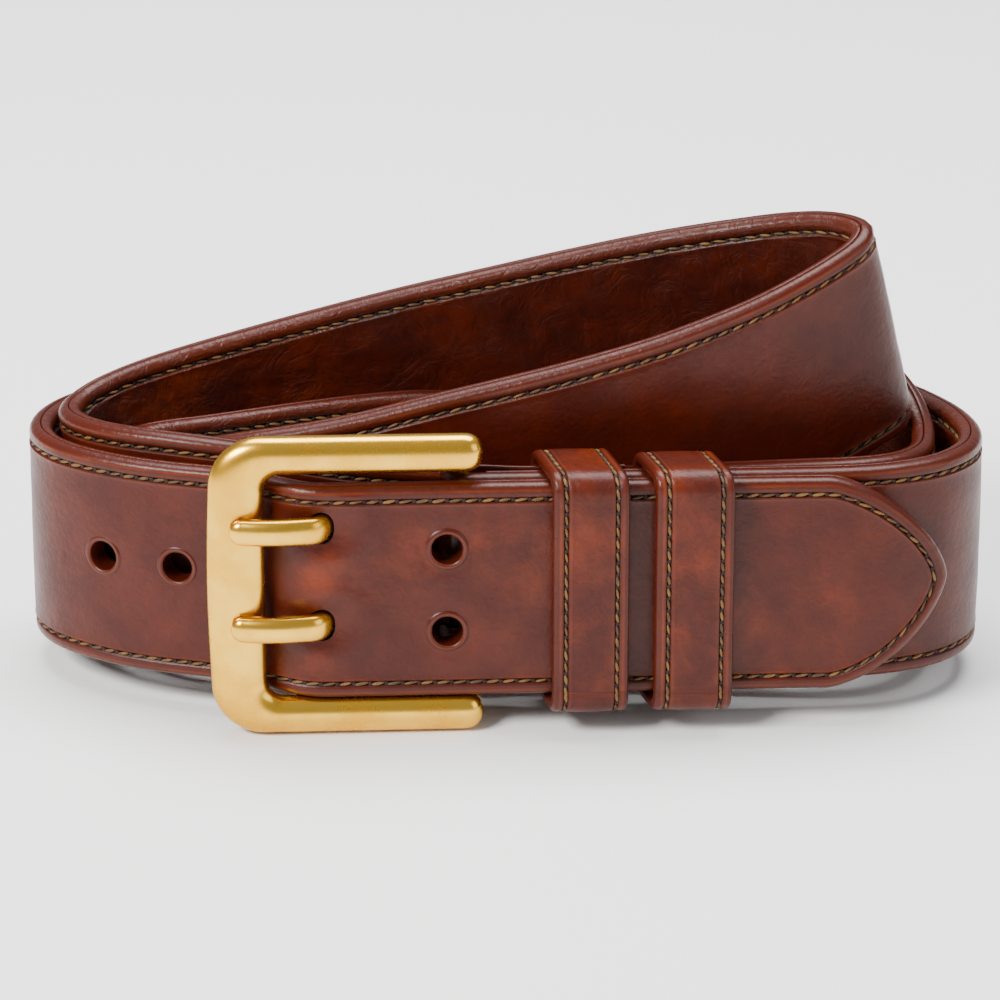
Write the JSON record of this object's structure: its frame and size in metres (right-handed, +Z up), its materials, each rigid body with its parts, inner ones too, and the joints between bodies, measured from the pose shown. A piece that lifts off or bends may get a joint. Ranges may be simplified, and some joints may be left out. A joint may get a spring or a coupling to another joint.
{
  "type": "leather belt",
  "caption": "Coiled and buckled dress belt of stitched leather with a brass frame buckle, twin prongs and leather keepers.",
  "frame": {"origin": "middle of the belt's bounding box, on the table it stands on", "axes": "+Z up, +X along the front strap from the buckle to the tip, -Y towards the viewer of the buckle"},
  "size_m": [0.1732, 0.0838, 0.0838],
  "materials": {
    "leather": "satin",
    "lining": "matte",
    "thread": "matte",
    "brass": "satin"
  },
  "bodies": {
    "strap": {"strap_top_leather": "leather", "strap_lining": "lining", "seam_thread_outer": "thread", "seam_thread_inner": "thread", "keeper_fixed": "leather", "keeper_fixed_thread_left": "thread", "keeper_fixed_thread_right": "thread"},
    "buckle": {"buckle_frame": "brass", "buckle_crossbar": "brass"},
    "upper_prong": {"prong_upper": "brass"},
    "lower_prong": {"prong_lower": "brass"},
    "sliding_keeper": {"keeper_sliding": "leather", "keeper_sliding_thread_left": "thread", "keeper_sliding_thread_right": "thread"}
  },
  "joints": [
    {"name": "buckle_swing", "type": "hinge", "parent": "strap", "child": "buckle", "pos_m": [-0.00756, -0.02808, 0.02649], "axis": [0, 0.0538, 0.9986], "range_deg": [0, 0.4]},
    {"name": "upper_prong_swing", "type": "hinge", "parent": "buckle", "child": "upper_prong", "pos_m": [-0.00756, -0.02742, 0.03878], "axis": [0, 0.0538, 0.9986], "range_deg": [0, 0.5]},
    {"name": "lower_prong_swing", "type": "hinge", "parent": "buckle", "child": "lower_prong", "pos_m": [-0.00756, -0.0284, 0.0206], "axis": [0, 0.0538, 0.9986], "range_deg": [0, 0.5]},
    {"name": "keeper_slide", "type": "slide", "parent": "strap", "child": "sliding_keeper", "axis": [0.9988, 0.0499, -0.0027], "range_m": [0, 0.01]}
  ]
}
